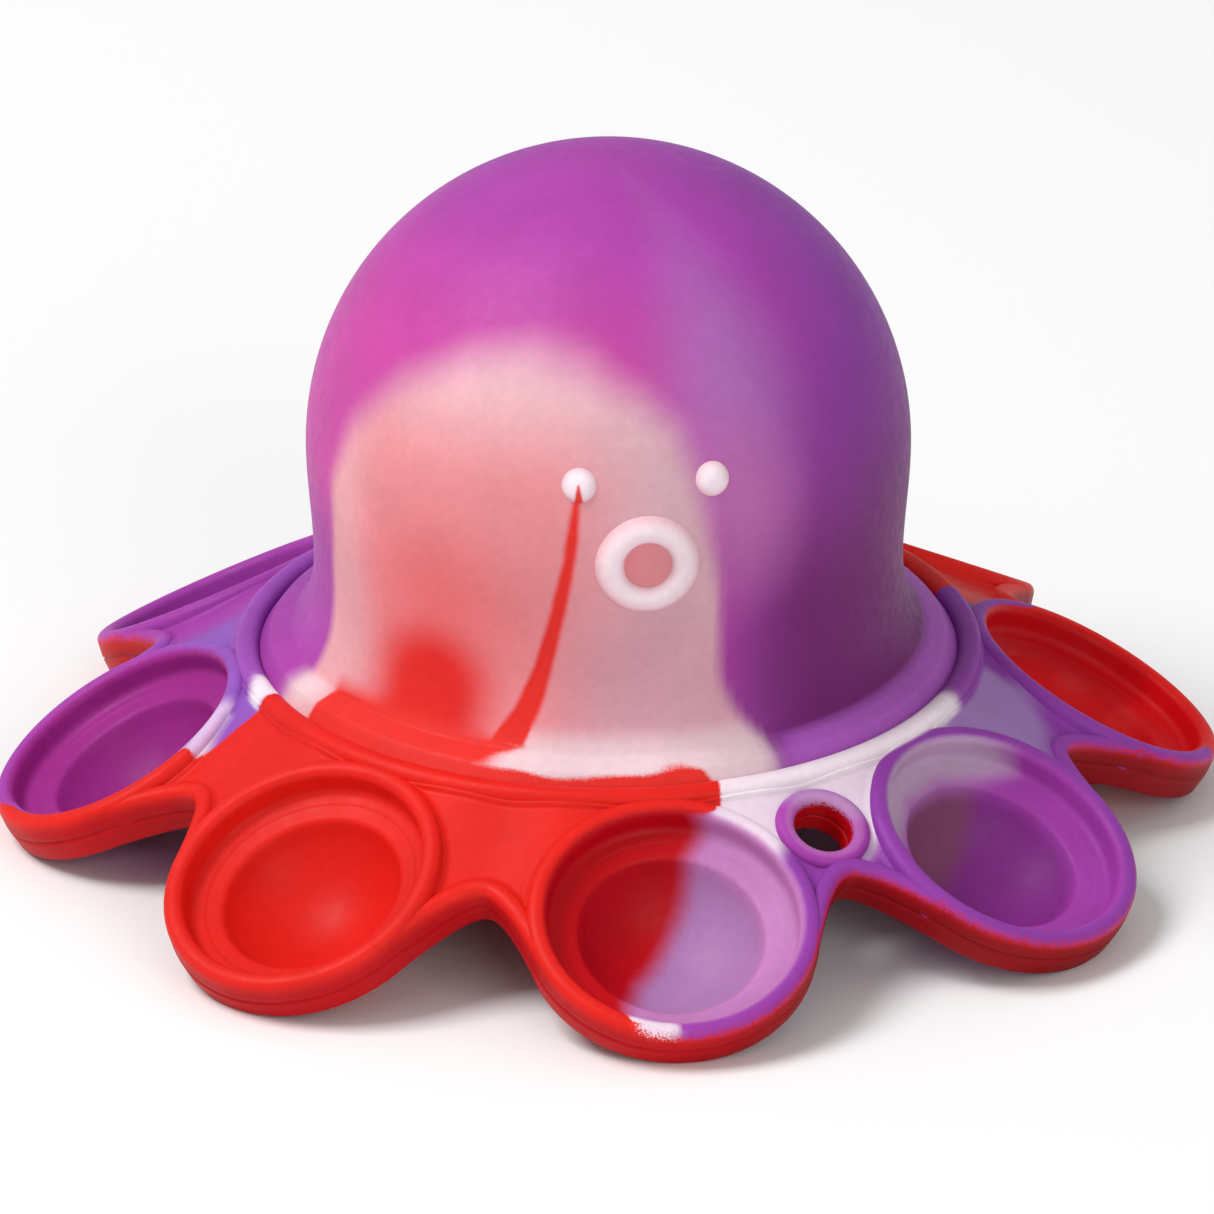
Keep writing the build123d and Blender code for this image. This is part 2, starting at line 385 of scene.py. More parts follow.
def cone_z(radius):
    """Height of the skirt's middle surface on the line halfway between two arms."""
    return LOBE_Z + (LOBE_PATH_R - radius) * TAN_DROOP


# ---- colours

def paint_of(red, green, blue):
    """Linear colour from display values from 0 to 255."""
    share = np.array([red, green, blue]) / 255
    return np.where(share <= 0.04045, share / 12.92, ((share + 0.055) / 1.055) ** 2.4)


MAGENTA = paint_of(190, 68, 152)
ORCHID = paint_of(158, 60, 160)
VIOLET = paint_of(138, 58, 156)
PLUM = paint_of(104, 26, 94)
FUCHSIA = paint_of(152, 38, 130)
GRAPE = paint_of(130, 44, 132)
THISTLE = paint_of(184, 106, 168)
FOXGLOVE = paint_of(186, 122, 180)
IRIS = paint_of(138, 82, 178)
LAVENDER = paint_of(158, 120, 180)
LILAC = paint_of(168, 122, 176)
DUSK = paint_of(186, 156, 184)
HAZE = paint_of(206, 178, 212)
HEATHER = paint_of(170, 88, 184)
# Mauve grey: pale marbling darkened with painted shade
SHADED_PALE = paint_of(130, 72, 104)
CHERRY = paint_of(212, 6, 16)
AMETHYST = paint_of(178, 84, 184)
PEARL = paint_of(222, 202, 217)
MILK = paint_of(236, 220, 228)
CREAM = paint_of(222, 196, 202)
BLUSH = paint_of(222, 180, 188)
ROSE = paint_of(218, 134, 140)
ASH = paint_of(206, 166, 176)
MAUVE = paint_of(198, 148, 162)
CORAL = paint_of(224, 62, 56)
SCARLET = paint_of(214, 30, 22)
RED = paint_of(184, 2, 14)
CRIMSON = paint_of(140, 0, 12)

# A field is the distance into the red, clipped to this much each way.
REACH = 1.5
# Widths of the red's edge: on the tops, and what the outer walls add
SHARP = 0.35
WALL_BLUR = 0.5
# Speckle along the red's edge, on the tops
CALM = 0.2
# Height of a bead at which its red outer wall starts, and the depth that stands for no wall
WALL_EDGE_N = 2.0
NO_WALL = -2 * REACH


def clipped(field):
    return np.clip(field, -REACH, REACH)


def wash(tint, colour, weight):
    """A tint with a colour laid over it by weight."""
    return tint + (colour - tint) * np.asarray(weight)[:, None]


def paint(piece, spots, tint, field, stain, blur=SHARP, grit=CALM):
    """Stores a piece's colours and its places at rest, which its material reads.

    Tint is the marbling's purple to white and stain its red, both with some painted shade, and
    field, blur and grit shape the edge between them.
    """
    mesh = piece.data
    count = len(mesh.vertices)
    opaque = np.ones((count, 1))
    layers = (
        ("spot", "FLOAT_VECTOR", "vector", spots),
        ("tint", "FLOAT_COLOR", "color", np.hstack([np.broadcast_to(tint, (count, 3)), opaque])),
        ("stain", "FLOAT_COLOR", "color", np.hstack([np.broadcast_to(stain, (count, 3)), opaque])),
        ("field", "FLOAT", "value", np.broadcast_to(field, (count,))),
        ("blur", "FLOAT", "value", np.broadcast_to(blur, (count,))),
        ("grit", "FLOAT", "value", np.broadcast_to(grit, (count,))),
    )
    for name, kind, key, values in layers:
        attribute = mesh.attributes.new(name, kind, "POINT")
        attribute.data.foreach_set(key, np.ascontiguousarray(values, np.float32).ravel())
    mesh.materials.append(silicone)


# Red on the tops of the skirt, in plan
RED_FRONT = (
    (-72, -1), (-50, -3), (-43.8, -11), (-42.5, -12.6), (-34.6, -9.4), (-28, -7), (0, -10),
    (6.2, -20), (6.2, -36.8), (5.2, -39), (4.6, -41), (-5.6, -56), (-5.6, -75), (-72, -75),
)
RED_REAR = (
    (32, 7), (38.5, 8), (41, 14), (50, 15), (58, 18), (70, 30), (60, 70), (14, 70),
    (16, 50), (20, 36), (24, 26),
)
RED_RIGHT = ((45, 8), (44, 18), (66, 18), (66, -4), (57, -5), (53, 4))
# Paler and bluer stretches of the beads, and of the webs between them: colour, softness, outline in plan
LEFT_IRIS = (IRIS, 6.0, ((-46, -14), (-34, -11), (-30, 0), (-35, 14), (-44, 17), (-39, 3)))
BEAD_WASHES = (
    LEFT_IRIS,
    (HAZE, 2.4, ((-45, -14), (-41.5, -13), (-37.4, -7.6), (-39.4, -6.2), (-42.6, -9.6))),
    (PEARL, 1.8, ((5, -30), (4.6, -41), (8, -42), (10.8, -44.4), (14, -39), (14, -30))),
    (PEARL, 1.0, ((-6.0, -61.8), (-5.6, -57), (-1, -57), (-1, -60.6))),
)
WEB_WASHES = (
    LEFT_IRIS,
    (PEARL, 1.4, ((-45, -14), (-41.5, -13), (-38.4, -8.6), (-40, -7.6), (-42.6, -10.6))),
    (PEARL, 1.2, (
        (5, -30), (5, -39), (10.4, -42), (13, -41.5), (20, -41), (27, -33), (34, -25), (30, -20),
    )),
    (LAVENDER, 3.0, ((30, -22), (40, -24), (42, -16), (40, -10), (34, -8))),
)
# White stretches of the ring bead, in plan
RING_TIP = ((-37.5, -9.4), (-31.5, -10.4), (-31, -5.4), (-35.5, -4.8))
RING_PALE = ((5, -20), (5, -40), (20, -40), (40, -22), (31, -17.5), (26, -16))
# The ring bead's colours reach this far out over the webs' coves.
RING_COLOUR_REACH = 0.3


def skirt_tint(plan, washes=BEAD_WASHES):
    """Colour of the skirt without its red: orchid to violet from left to right, and the washes."""
    tint = np.broadcast_to(ORCHID, (len(plan), 3))
    tint = wash(tint, VIOLET, fade(plan[:, 0] + 4 * wave(plan, 23, 1), 40))
    shifted = plan + 0.5 * np.stack([wave(plan, 7, 2), wave(plan, 7, 3)], axis=1)
    for colour, softness, outline in washes:
        tint = wash(tint, colour, fade(inside(shifted, outline), softness))
    ring = wash(np.broadcast_to(ORCHID, tint.shape), VIOLET, fade(plan[:, 0], 40))
    ring = wash(ring, IRIS, fade(-20 - plan[:, 0], 14) * 0.5)
    pale = np.maximum(fade(inside(plan, RING_PALE), 2.5), fade(inside(plan, RING_TIP), 1.4))
    ring = wash(ring, MILK, pale)
    on_ring = fade(RING_OUTER_R + RING_COLOUR_REACH - np.linalg.norm(plan, axis=1), 0.4)
    return wash(tint, ring, on_ring)


def skirt_red(plan):
    fields = [inside(plan, outline) for outline in (RED_FRONT, RED_REAR, RED_RIGHT)]
    return clipped(np.max(fields, axis=0))


def wall_share(depth):
    """How much a place belongs to a red outer wall, from its depth below the wall's upper edge."""
    return np.clip(0.5 + depth / (2 * REACH), 0, 1)


def red_of(plan, walls):
    """Red of the skirt: scarlet on top, and painted shade as red on the outer walls and crimson at the
    right.
    """
    # Painted shade: walls facing out and down get a darker red, and those at the right, away from the key
    # light, crimson.
    wall_shade = soft(walls * 2 - 0.8)
    red = wash(np.broadcast_to(SCARLET, (len(plan), 3)), RED, wall_shade)
    return wash(red, CRIMSON, wall_shade * fade(plan[:, 0] + 0.3 * plan[:, 1] + 12, 24))


def wall_blur(walls):
    return SHARP + WALL_BLUR * soft(2 * walls)


def wall_grit(walls):
    return CALM + soft(2 * walls)


def skirt_paint(piece, spots, depth, washes=BEAD_WASHES):
    """Colours of the skirt's top, and red on the outer walls below the crest."""
    plan = spots[:, :2]
    walls = wall_share(depth)
    field = skirt_red(plan)
    field = field + (REACH - field) * walls
    tint = skirt_tint(plan, washes)
    paint(piece, spots, tint, field, red_of(plan, walls), wall_blur(walls), wall_grit(walls))


# Inside of each arm: colours of the ledge and the bowl, a second colour of each with its outline in
# plan, the red's outline, and how soft the red's edge is
ALL = ((-99, -99), (99, -99), (99, 99), (-99, 99))
FRONT_RED = (
    (-20, -30), (5.4, -34), (4.6, -37.5), (1, -41), (-3, -46), (-4.8, -52), (-6, -60), (-20, -70),
)
FRONT_RIGHT_DUSK = (
    (18, -18), (35, -18), (37, -22.4), (29, -26), (25.5, -30), (24, -36), (22, -42), (18, -42),
)
# Pale marbling on the front right bowl's wall towards the head, darkened as painted shade
FRONT_RIGHT_SHADED_PALE = ((18, -18), (30, -18), (32.5, -25), (26.5, -35), (20, -40))
RIGHT_CHERRY = ((42, -12), (62, -12), (62, 12), (54, 8))
REAR_LAVENDER = ((-10, 48), (2, 40), (10, 52), (0, 60))
REAR_LEFT_PLUM = ((-45, 30), (-30, 25), (-25, 40), (-40, 45))
LEFT_LEDGE_AMETHYST = ((-62, -14), (-54, -14), (-52, -4), (-60, -2))
LEFT_BOWL_AMETHYST = ((-54, -14), (-36, -12), (-36, -3), (-48, -4.5))
INSIDES = {
    "front": (FOXGLOVE, LILAC, None, None, FRONT_RED, 2.8),
    "front_right": (ORCHID, GRAPE, (DUSK, FRONT_RIGHT_DUSK), (SHADED_PALE, FRONT_RIGHT_SHADED_PALE), None, SHARP),
    # The right arm's ledge is darker red as painted shade on its far and inner side, cherry on the rest.
    "right": (RED, CHERRY, (CHERRY, RIGHT_CHERRY), None, ALL, SHARP),
    "rear_right": (CRIMSON, RED, None, None, ALL, SHARP),
    "rear": (ORCHID, VIOLET, None, (LAVENDER, REAR_LAVENDER), None, SHARP),
    "rear_left": (ORCHID, VIOLET, None, (PLUM, REAR_LEFT_PLUM), None, SHARP),
    "left": (
        FUCHSIA, FUCHSIA, (AMETHYST, LEFT_LEDGE_AMETHYST), (AMETHYST, LEFT_BOWL_AMETHYST), None, SHARP,
    ),
    "front_left": (SCARLET, SCARLET, None, None, ALL, SHARP),
}
# Where an arm's inside colours end at the rim, and where the bowl's colours end at the lip
INSIDE_R = RIM_INNER_R + 0.5
BOWL_COLOUR_R = LIP_R - 0.4
SECOND_SOFTNESS = 2.6
# The lobe's outer wall is red as far round as this, a little past where the valley's wall takes over.
WALL_ANGLE = LEAVE + 0.22


def two_tone(plan, colour, second):
    """A colour, with a second one inside its outline where there is one."""
    tint = np.broadcast_to(colour, (len(plan), 3))
    if second is None:
        return tint
    second_colour, outline = second
    return wash(tint, second_colour, fade(inside(plan, outline), SECOND_SOFTNESS))


def arm_paint(piece, spots, name, place):
    """Colours of a lobe or its bubble: the skirt's on the rim, its own inside, and red walls."""
    own = local(spots, place)
    rho, height = np.hypot(own[:, 0], own[:, 1]), own[:, 2]
    plan = spots[:, :2]
    ledge, bowl, second_ledge, second_bowl, red_outline, softness = INSIDES[name]
    within = fade(INSIDE_R - rho, 0.7)
    in_bowl = fade(BOWL_COLOUR_R - rho, 1.2)
    inner = wash(two_tone(plan, ledge, second_ledge), two_tone(plan, bowl, second_bowl), in_bowl)
    tint = wash(skirt_tint(plan), inner, within)
    inner_field = clipped(inside(plan, red_outline)) if red_outline else -REACH
    field = skirt_red(plan)
    field = field + (inner_field - field) * np.clip(0.5 + (INSIDE_R - rho) / 1.2, 0, 1)
    facing = np.abs(np.arctan2(own[:, 1], own[:, 0])) < WALL_ANGLE
    outer = (rho > LOBE_R - RIM_WIDTH / 2) & facing
    underside = (height < LEDGE_FOOT_N + 0.1) & (rho > BOWL_R + BUBBLE_WALL)
    depth = np.where(outer, WALL_EDGE_N - height, NO_WALL)
    walls = wall_share(np.where(underside, -NO_WALL, depth))
    field = field + (REACH - field) * walls
    stain = wash(red_of(plan, walls), inner if red_outline is ALL else RED, within)
    blur = wall_blur(walls) + (softness - SHARP) * within
    paint(piece, spots, tint, field, stain, blur, wall_grit(walls))


# Head colours lie on a map of degrees round from the front and height.
ARC = HEAD_R * math.pi / 180
PATCH = (
    (-73, 5), (-74, 24), (-76, 32), (-73, 41), (-66, 48), (-56, 53), (-42, 56.4), (-27, 57.8),
    (-12, 57.4), (0, 55.3), (7, 52), (10, 47), (11, 41), (13, 33), (16, 26), (21, 21), (21, 5),
)
BAND_RED = (
    (-68, 5), (-66, 20.8), (-50, 21.2), (-36, 20.8), (-22.5, 20.4), (-25.5, 19.6), (-31, 19),
    (-11, 18.5), (-6, 18.8), (0, 19), (5, 19.1), (8.6, 18.9), (9.6, 17.8), (9.6, 5),
)
BAND_PALE = ((-27, 5), (-27, 22), (20, 22), (23, 5))
# Red drip from the left eye down to the band, with the degrees between which it lies
DRIP_FROM = -32
DRIP_TO = -8
DRIP_FOOT_Z = 20.2
DRIP_TOP_Z = 47
DRIP_HEIGHTS = (20.5, 23.5, 28, 34, 40, 46)
DRIP_TURNS = (-26.0, -23.0, -20.0, -17.0, -14.6, -13.4)
DRIP_HALF_WIDTHS = (1.7, 1.3, 0.95, 0.75, 0.6, 0.42)
# Red blotch at the left, a rounded top on a straight stretch
BLOTCH_TURN = -43.5
BLOTCH_Z = 24
BLOTCH_R = 5.6
BLOTCH_STRETCH = 1.15
# Lighter clouds: colour, turn, height, half height, half width, weight
CLOUDS = (
    (LAVENDER, 150, 44, 17, 17, 0.8),
    (LAVENDER, 20, 56, 17, 13, 0.5),
    (THISTLE, 19, 44, 15, 10, 0.85),
)
FACE_GRIT = 0.06


def on_map(turn, height):
    return np.stack([turn * ARC, height], axis=-1)


def inside_map(at, outline):
    """Distance in from an outline of the map, given in degrees and height."""
    return inside(at, [(turn * ARC, height) for turn, height in outline])


def blob(at, turn, height, half_height, half_width):
    """Weight that fades out from a point of the map over an oval."""
    away = (at - on_map(np.array(turn), np.array(height))) / np.array([half_width, half_height])
    return soft(1 - np.linalg.norm(away, axis=1))


def patch_tint(at, turn, height):
    """Colours of the pale patch: rose at the left, ash at the right, the red blotch, cream low down."""
    tint = wash(np.broadcast_to(ROSE, (len(at), 3)), BLUSH, fade(height - 52, 14))
    tint = wash(tint, BLUSH, fade(-62 - turn, 14) * 0.45)
    tint = wash(tint, CORAL, blob(at, -42, 33, 14, 13) * 0.45)
    tint = wash(tint, ASH, fade(turn + 8, 26) * 0.95)
    tint = wash(tint, MAUVE, fade(turn + 14, 22) * fade(33 - height, 14) * 0.8)
    blotch = np.hypot((at[:, 0] - BLOTCH_TURN * ARC) / BLOTCH_STRETCH, np.maximum(height - BLOTCH_Z, 0))
    tint = wash(tint, SCARLET, fade(BLOTCH_R - blotch, 6) * 0.97)
    return wash(tint, CREAM, fade(21.4 - height, 2.5) * fade(turn + 24, 6) * 0.8)


def head_paint(piece, spots):
    """Colours of the head: magenta to violet, partly painted shade at the right, the pale patch, the pale
    and red band, and the drip.
    """
    east, north, height = spots.T
    turn = np.degrees(np.arctan2(east, -north))
    at = on_map(turn, height)
    tint = np.broadcast_to(MAGENTA, (len(spots), 3))
    tint = wash(tint, ORCHID, fade(height - 62, 14) * 0.8)
    # Violet to the right and plum low at the right are partly the marbling and partly painted shade on
    # the side away from the key light.
    tint = wash(tint, VIOLET, fade(east - 9 + 3 * wave(spots, 40, 6), 22))
    tint = wash(tint, PLUM, fade(east - 11, 14) * fade(38 - height + 0.3 * east, 26) * 0.9)
    tint = wash(tint, ORCHID, fade(-23 - east, 8) * fade(36 - height, 12) * 0.8)
    tint = wash(tint, VIOLET, fade(north - 6, 30) * 0.6)
    for colour, cloud_turn, cloud_z, half_height, half_width, weight in CLOUDS:
        tint = wash(tint, colour, blob(at, cloud_turn, cloud_z, half_height, half_width) * weight)
    moved = at + 0.7 * np.stack([wave(spots, 21, 4), wave(spots, 21, 5)], axis=1)
    softness = 1.6 + 4.6 * soft((height - 34) / 22)
    tint = wash(tint, patch_tint(at, turn, height), fade(inside_map(moved, PATCH), softness))
    band = fade(RING_TOP_Z + FOOT_RISE - height, 0.8)
    tint = wash(tint, CREAM, band * fade(inside_map(at, BAND_PALE), 3.0))
    tint = wash(tint, CREAM, band * blob(at, -72, 20, 4.5, 4.5))
    tint = wash(tint, HEATHER, band * fade(east - 12.8, 4))
    in_mouth = MOUTH_PATH_R - np.linalg.norm(spots - face_place("mouth_ring")[0], axis=1)
    tint = wash(tint, CORAL, fade(in_mouth, 2) * 0.4)
    centre = np.interp(height, DRIP_HEIGHTS, DRIP_TURNS)
    drip = np.interp(height, DRIP_HEIGHTS, DRIP_HALF_WIDTHS) - np.abs(turn - centre) * ARC
    drip = np.minimum(drip, np.minimum(DRIP_TOP_Z - height, height - DRIP_FOOT_Z))
    ragged = at + 0.12 * np.stack([wave(spots, 5, 7), wave(spots, 5, 8)], axis=1)
    field = clipped(np.maximum(drip, inside_map(ragged, BAND_RED)))
    above_band = fade(height - DRIP_FOOT_Z, 1.2)
    blur = 0.5 + 1.9 * above_band * fade(-30 - turn, 6) + 0.3 * fade(height - 22, 1)
    stain = CORAL * 0.35 + SCARLET * 0.65
    paint(piece, spots, tint, field, stain, blur, np.where(height > 22, FACE_GRIT, CALM))


# ---- material

# Noise scales are per millimetre, since the noise reads each place at rest in millimetres.
WANDER_SCALE = 0.3
WANDER_SWING = 0.36
SPECKLE_SCALE = 5.5
SPECKLE_SWING = 2.0
CLOUD_SCALE = 0.11
CLOUD_RANGE = (0.94, 1.06)
MOTTLE_SCALE = 1.1
MOTTLE_RANGE = (0.965, 1.035)
GLOSS_SCALE = 0.8
ROUGHNESS_RANGE = (0.43, 0.55)
GRAIN_SCALE = 7.0
GRAIN_SHARE = 0.6
DIMPLE_SCALE = 1.6
BUMP_DEPTH = 0.00003
BUMP_STRENGTH = 0.35
# Nearly all of a noise's values lie between these two.
NOISE_RANGE = (0.3, 0.7)
# Sockets of a mix node that have the same names as its other sockets
MIX_COLOUR_A = 6
MIX_COLOUR_B = 7
MIX_COLOUR_RESULT = 2
SILICONE = {
    "IOR": 1.3,
    "Specular IOR Level": 0.35,
    "Subsurface Weight": 0.12,
    "Subsurface Radius": (1.0, 0.45, 0.5),
    "Subsurface Scale": 0.0015,
}


def make_silicone():
    """Matt marbled silicone: the stored colours, a wandering speckled edge, mottling and fine grain."""
    material = bpy.data.materials.new("marbled_silicone")
    material.use_nodes = True
    nodes, links = material.node_tree.nodes, material.node_tree.links
    shader = nodes["Principled BSDF"]

    def feed(socket, value):
        """Sets a socket to a constant, or links another node's output to it."""
        if isinstance(value, (int, float)):
            socket.default_value = value
        else:
            links.new(value, socket)

    def attribute(name, output="Fac"):
        node = nodes.new("ShaderNodeAttribute")
        node.attribute_name = name
        return node.outputs[output]

    def noise(scale, detail):
        node = nodes.new("ShaderNodeTexNoise")
        node.inputs["Scale"].default_value = scale
        node.inputs["Detail"].default_value = detail
        links.new(spot, node.inputs["Vector"])
        return node.outputs["Fac"]

    def maths(operation, first, second):
        node = nodes.new("ShaderNodeMath")
        node.operation = operation
        feed(node.inputs[0], first)
        feed(node.inputs[1], second)
        return node.outputs["Value"]

    def ranged(value, from_range, to_range, smooth=False):
        node = nodes.new("ShaderNodeMapRange")
        if smooth:
            node.interpolation_type = "SMOOTHSTEP"
        names = ("Value", "From Min", "From Max", "To Min", "To Max")
        for name, given in zip(names, (value, *from_range, *to_range)):
            feed(node.inputs[name], given)
        return node.outputs["Result"]

    def mixed(share, first, second, blend="MIX"):
        node = nodes.new("ShaderNodeMix")
        node.data_type = "RGBA"
        node.blend_type = blend
        feed(node.inputs["Factor"], share)
        feed(node.inputs[MIX_COLOUR_A], first)
        feed(node.inputs[MIX_COLOUR_B], second)
        return node.outputs[MIX_COLOUR_RESULT]

    def swing(scale, detail, width):
        """Noise centred on 0."""
        return maths("MULTIPLY", maths("SUBTRACT", noise(scale, detail), 0.5), width)

    spot = attribute("spot", "Vector")
    speckle = maths("MULTIPLY", swing(SPECKLE_SCALE, 2, SPECKLE_SWING), attribute("grit"))
    wander = swing(WANDER_SCALE, 3, WANDER_SWING)
    edge = maths("ADD", attribute("field"), maths("ADD", wander, speckle))
    half_blur = maths("MULTIPLY", attribute("blur"), 0.5)
    mask = ranged(edge, (maths("MULTIPLY", half_blur, -1), half_blur), (0, 1), smooth=True)
    marbled = mixed(mask, attribute("tint", "Color"), attribute("stain", "Color"))
    cloud = ranged(noise(CLOUD_SCALE, 3), NOISE_RANGE, CLOUD_RANGE)
    mottle = ranged(noise(MOTTLE_SCALE, 5), NOISE_RANGE, MOTTLE_RANGE)
    shade = maths("MULTIPLY", cloud, mottle)
    grey = nodes.new("ShaderNodeCombineColor")
    for channel in grey.inputs:
        links.new(shade, channel)
    links.new(mixed(1.0, marbled, grey.outputs["Color"], "MULTIPLY"), shader.inputs["Base Color"])
    links.new(ranged(noise(GLOSS_SCALE, 4), NOISE_RANGE, ROUGHNESS_RANGE), shader.inputs["Roughness"])
    bump = nodes.new("ShaderNodeBump")
    bump.inputs["Strength"].default_value = BUMP_STRENGTH
    bump.inputs["Distance"].default_value = BUMP_DEPTH
    grain = maths("MULTIPLY", noise(GRAIN_SCALE, 3), GRAIN_SHARE)
    links.new(maths("ADD", grain, noise(DIMPLE_SCALE, 4)), bump.inputs["Height"])
    links.new(bump.outputs["Normal"], shader.inputs["Normal"])
    for name, value in SILICONE.items():
        shader.inputs[name].default_value = value
    return material


silicone = make_silicone()


# ---- lobes and bubbles

def bead_section():
    """Rim bead from the top of its inner wall, over the crest, down its outer wall to the foot."""
    half = RIM_HALF_HEIGHT
    return [
        (RIM_INNER_R + RIM_DRAFT / 2, half, RIM_TOP_ROUND),
        (LOBE_R - RIM_DRAFT, half, RIM_TOP_ROUND),
        (LOBE_R, SEAM_HALF_WIDTH, 0),
        (LOBE_R - SEAM_DEPTH, 0, 0),
        (LOBE_R, -SEAM_HALF_WIDTH, 0),
        (LOBE_R - RIM_DRAFT, -half, RIM_FOOT_ROUND),
    ]


def ledge_height(rho):
    """Height of the sloping ledge between the rim bead and the bubble's lip."""
    return LEDGE_OUTER_N + (LIP_N - LEDGE_OUTER_N) * (RIM_INNER_R - rho) / (RIM_INNER_R - LIP_R)


def lobe_section():
    """Closed section of a lobe: the rim bead and the shelf that the bubble's skin lies on."""
    relief = ledge_height(SHEET_EDGE_R) - SHEET_RELIEF
    shelf = [
        (RIM_INNER_R + RIM_DRAFT / 2, -RIM_HALF_HEIGHT, RIM_FOOT_ROUND / 2),
        (RIM_INNER_R + RIM_DRAFT / 2, LEDGE_FOOT_N, 0),
        (BOWL_R, LEDGE_FOOT_N, 0),
        (BOWL_R, ledge_height(BOWL_R) - 2 * SHEET_RELIEF, 0),
        (SHEET_EDGE_R - SHEET_RELIEF, relief, 0),
        (SHEET_EDGE_R, ledge_height(SHEET_EDGE_R), 0),
        (RIM_INNER_R, LEDGE_OUTER_N, LEDGE_ROUND),
    ]
    return rounded(bead_section() + shelf)


def bubble_section():
    """Top surface of the bubble's skin, from the ledge over the rounded lip to the bowl's middle."""
    wall_n = LIP_N - 2 * LIP_ROUND
    wall_r = math.sqrt(BOWL_R**2 - (wall_n - BOWL_CENTRE_N) ** 2)
    top = rounded([
        (SHEET_EDGE_R, ledge_height(SHEET_EDGE_R), 0),
        (LIP_R, LIP_N, LIP_ROUND),
        (wall_r, wall_n, 0),
    ], step=0.3, closed=False)
    start = math.atan2(wall_r, BOWL_CENTRE_N - wall_n)
    angles = np.linspace(start, POLE_R / BOWL_R, BOWL_ROWS)[1:]
    bowl = np.stack([BOWL_R * np.sin(angles), BOWL_CENTRE_N - BOWL_R * np.cos(angles)], axis=1)
    return np.vstack([top, bowl])


def make_arm(index, name):
    """A lobe and its bubble."""
    place = lobe_place(index)
    points = turned(lobe_section(), place, evenly(LOBE_COLUMNS))
    lobe = skin(f"lobe_{name}", points, wrap_rows=True)
    arm_paint(lobe, points.reshape(-1, 3), name, place)
    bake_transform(lobe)
    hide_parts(f"arm_{name}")
    points = turned(bubble_section(), place, evenly(BUBBLE_COLUMNS))
    bubble = skin(f"bubble_{name}", points, cap_last=True, thickness=BUBBLE_WALL)
    arm_paint(bubble, points.reshape(-1, 3), name, place)
    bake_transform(bubble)
    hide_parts(f"bubble_wall_{name}", f"bubble_crown_{name}")


# ---- webs and valley beads


def lobe_beside(turn, side):
    """Place of the lobe on one side of a valley, 1 for the one before it and -1 for the one after."""
    return skirt_place(turn - side * ARM_STEP / 2, LOBE_PATH_R, LOBE_Z)


def valley_path(turn, side):
    """Outer edge of half a valley, from the lobe to the halfway plane.

    Gives its points, and the directions into the open and upwards at each.
    """
    centre, out, across, normal = lobe_beside(turn, side)
    outward = out * math.cos(LEAVE) + side * across * math.sin(LEAVE)
    forward = -out * math.sin(LEAVE) + side * across * math.cos(LEAVE)
    edge = centre + LOBE_R * outward
    middle_r = VALLEY_CENTRE_R - VALLEY_R * COS_DROOP
    middle, middle_out, middle_across, middle_up = skirt_place(turn, middle_r, cone_z(middle_r))
    leave = edge + forward * VALLEY_HANDLE
    arrive = middle - side * middle_across * VALLEY_HANDLE
    share = np.linspace(0, 1, 25)[:, None]
    rest = 1 - share
    path = rest**3 * edge + 3 * share * rest**2 * leave + 3 * share**2 * rest * arrive + share**3 * middle
    along = unit(
        rest**2 * (leave - edge) + 2 * share * rest * (arrive - leave) + share**2 * (middle - arrive)
    )
    upward = unit(normal * rest + middle_up * share)
    upward = unit(upward - (upward * along).sum(1, keepdims=True) * along)
    sideways = np.cross(along, upward)
    sideways *= np.sign(sideways[-1] @ middle_out)
    return path, sideways, upward


def web_height(points, turn, side):
    """Middle surface of the skirt: the lobe's plane beside the lobe, a cone halfway between two."""
    heading = np.arctan2(points[:, 0], -points[:, 1])
    off_arm = np.abs((heading - (turn - side * ARM_STEP / 2) + math.pi) % (2 * math.pi) - math.pi)
    radius = np.hypot(points[:, 0], points[:, 1])
    share = soft((off_arm / (ARM_STEP / 2) - CONE_FROM) / (1 - CONE_FROM))
    flat = np.cos(off_arm)
    return LOBE_Z + (LOBE_PATH_R - radius * (flat + (1 - flat) * share)) * TAN_DROOP


def cove(distance, radius, reach):
    """Rise of a rounded inner corner at a distance from its wall."""
    away = np.clip(reach - distance, 0, reach)
    return radius - np.sqrt(np.maximum(radius**2 - away**2, 0))


def spread(count, power):
    """Shares from 0 to 1, closer together near both ends."""
    share = np.linspace(0, 1, count)
    return (1 - power) * share + power * soft(share)


